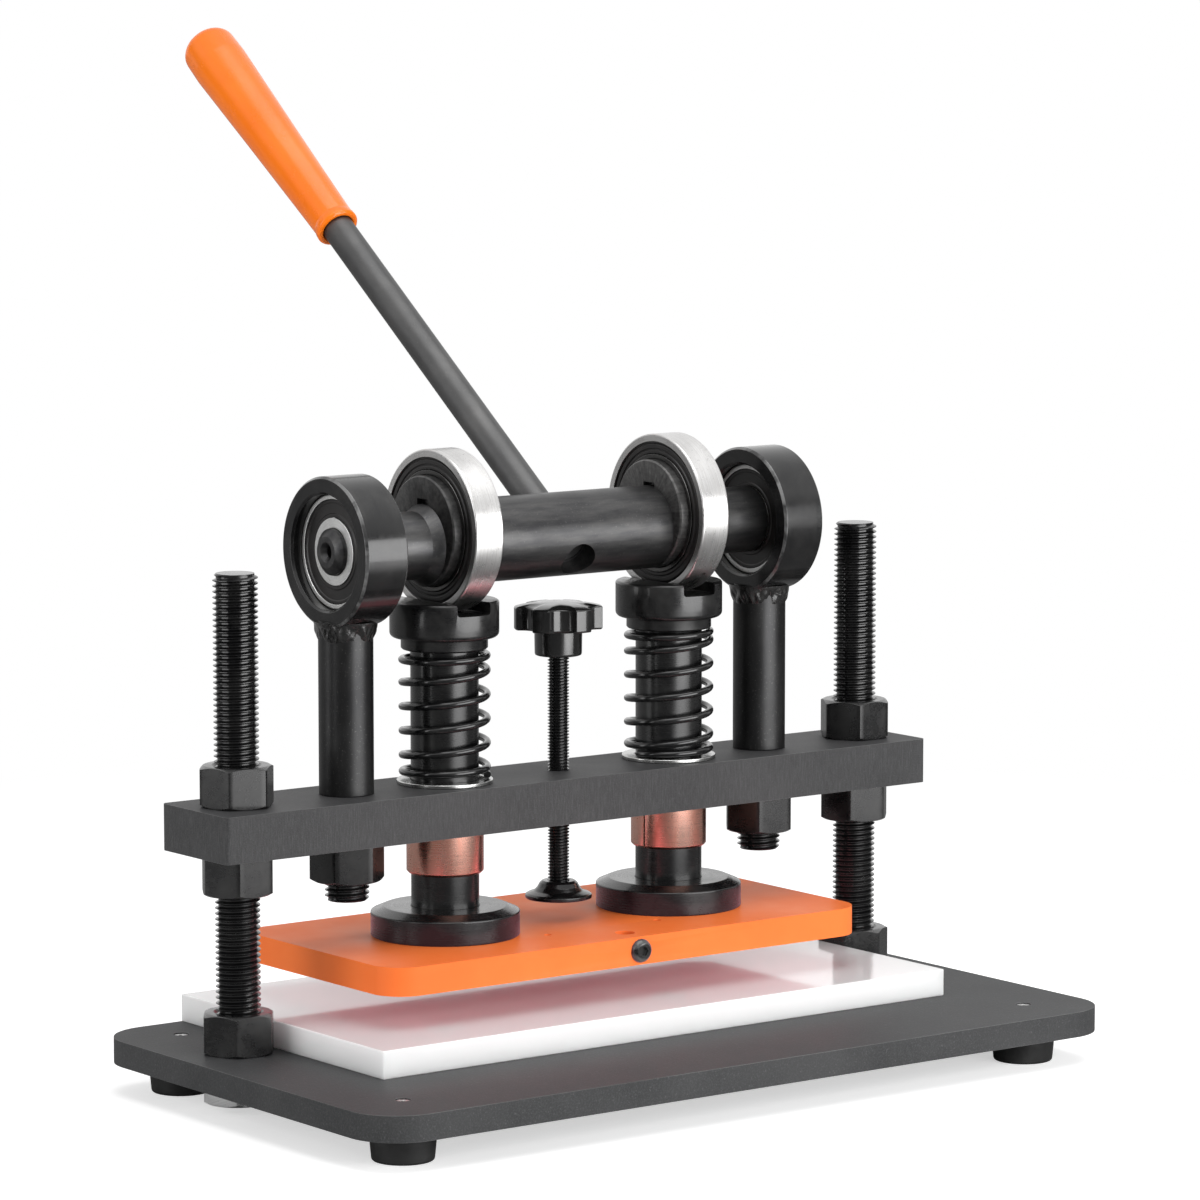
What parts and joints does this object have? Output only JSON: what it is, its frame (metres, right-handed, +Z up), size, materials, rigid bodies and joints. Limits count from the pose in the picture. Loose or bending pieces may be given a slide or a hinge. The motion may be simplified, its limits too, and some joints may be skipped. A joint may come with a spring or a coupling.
{
  "type": "belt embossing press",
  "caption": "Bench press for belts and straps: a lever turns a shaft whose eccentric rollers drive sprung plungers and a flat platen down over a board, on threaded rods.",
  "frame": {"origin": "centre of the bounding box's footprint, on the plane under the four feet", "axes": "+X along the long edge of the base, to the right; +Y to the back, where the lever leans at rest; +Z up"},
  "size_m": [0.492, 0.5443, 0.5646],
  "materials": {
    "graphite_paint": "matte powder coat",
    "dark_steel": "satin, dark phosphate",
    "black_oxide": "oiled black oxide",
    "bright_steel": "ground and polished",
    "rubber": "matte",
    "copper_bush": "turned, copper-coloured",
    "orange_paint": "satin paint",
    "orange_grip": "glossy dipped plastic",
    "white_board": "glossy",
    "black_knob": "glossy"
  },
  "bodies": {
    "stand": {"base_plate": "graphite_paint", "rubber_feet": "rubber", "foot_screws": "bright_steel", "rod_left": "black_oxide", "rod_right": "black_oxide", "base_nut_left": "black_oxide", "base_nut_right": "black_oxide", "under_nuts": "bright_steel"},
    "board": {"cutting_board": "white_board"},
    "carriage": {"crossbeam": "graphite_paint", "beam_nut_upper_left": "black_oxide", "beam_nut_upper_right": "black_oxide", "beam_nut_lower_left": "black_oxide", "beam_nut_lower_right": "black_oxide", "post_left": "dark_steel", "post_right": "dark_steel", "post_nut_left": "black_oxide", "post_nut_right": "black_oxide", "weld_beads": "dark_steel", "housing_left": "black_oxide", "housing_right": "black_oxide", "end_ring_left": "bright_steel", "end_ring_right": "bright_steel", "end_seals": "rubber", "end_balls": "bright_steel", "bush_left": "copper_bush", "bush_right": "copper_bush", "spring_washers": "bright_steel"},
    "crank": {"main_shaft": "dark_steel", "eccentric_left": "dark_steel", "eccentric_right": "dark_steel", "shaft_keys": "black_oxide", "end_inner_left": "bright_steel", "end_inner_right": "bright_steel", "roller_inner_left": "bright_steel", "roller_inner_right": "bright_steel", "handle_bar": "dark_steel", "handle_grip": "orange_grip"},
    "roller_left": {"roller_tyre_left": "bright_steel", "roller_seals_left": "rubber", "roller_balls_left": "bright_steel"},
    "roller_right": {"roller_tyre_right": "bright_steel", "roller_seals_right": "rubber", "roller_balls_right": "bright_steel"},
    "press_head": {"platen": "orange_paint", "platen_screws": "black_oxide", "plunger_left": "black_oxide", "plunger_right": "black_oxide", "plunger_cap_left": "black_oxide", "plunger_cap_right": "black_oxide", "flange_left": "black_oxide", "flange_right": "black_oxide", "die_clamp_screw": "black_oxide", "spring_left": "black_oxide", "spring_right": "black_oxide"},
    "swivel_foot": {"adjuster_foot": "black_oxide"},
    "star_knob": {"adjuster_knob": "black_knob", "adjuster_screw": "black_oxide"}
  },
  "joints": [
    {"name": "beam_height", "type": "slide", "parent": "stand", "child": "carriage", "axis": [0, 0, 1], "range_m": [-0.006, 0.085]},
    {"name": "lever_turn", "type": "hinge", "parent": "carriage", "child": "crank", "pos_m": [0, -0.086, 0.2934], "axis": [1, 0, 0], "range_deg": [0, 130]},
    {"name": "roller_left_spin", "type": "hinge", "parent": "crank", "child": "roller_left", "pos_m": [-0.0764, -0.085, 0.30053], "axis": [1, 0, 0], "continuous": true},
    {"name": "roller_right_spin", "type": "hinge", "parent": "crank", "child": "roller_right", "pos_m": [0.0764, -0.085, 0.30053], "axis": [1, 0, 0], "continuous": true},
    {"name": "platen_press", "type": "slide", "parent": "carriage", "child": "press_head", "axis": [0, 0, -1], "range_m": [0, 0.0112], "deforming": ["spring_left", "spring_right"]},
    {"name": "adjuster_lift", "type": "slide", "parent": "carriage", "child": "swivel_foot", "axis": [0, 0, 1], "range_m": [-0.0087, 0.0087]},
    {"name": "adjuster_turn", "type": "hinge", "parent": "swivel_foot", "child": "star_knob", "pos_m": [0, -0.086, 0.2], "axis": [0, 0, 1], "range_deg": [-1800, 1800]},
    {"name": "board_slide", "type": "slide", "parent": "stand", "child": "board", "axis": [0, -1, 0], "range_m": [0, 0.075]}
  ],
  "couplings": [
    {"joint": "platen_press", "follows": "lever_turn", "m_per_rad": 0.0049},
    {"joint": "adjuster_turn", "follows": "adjuster_lift", "rad_per_m": 3590.4}
  ]
}
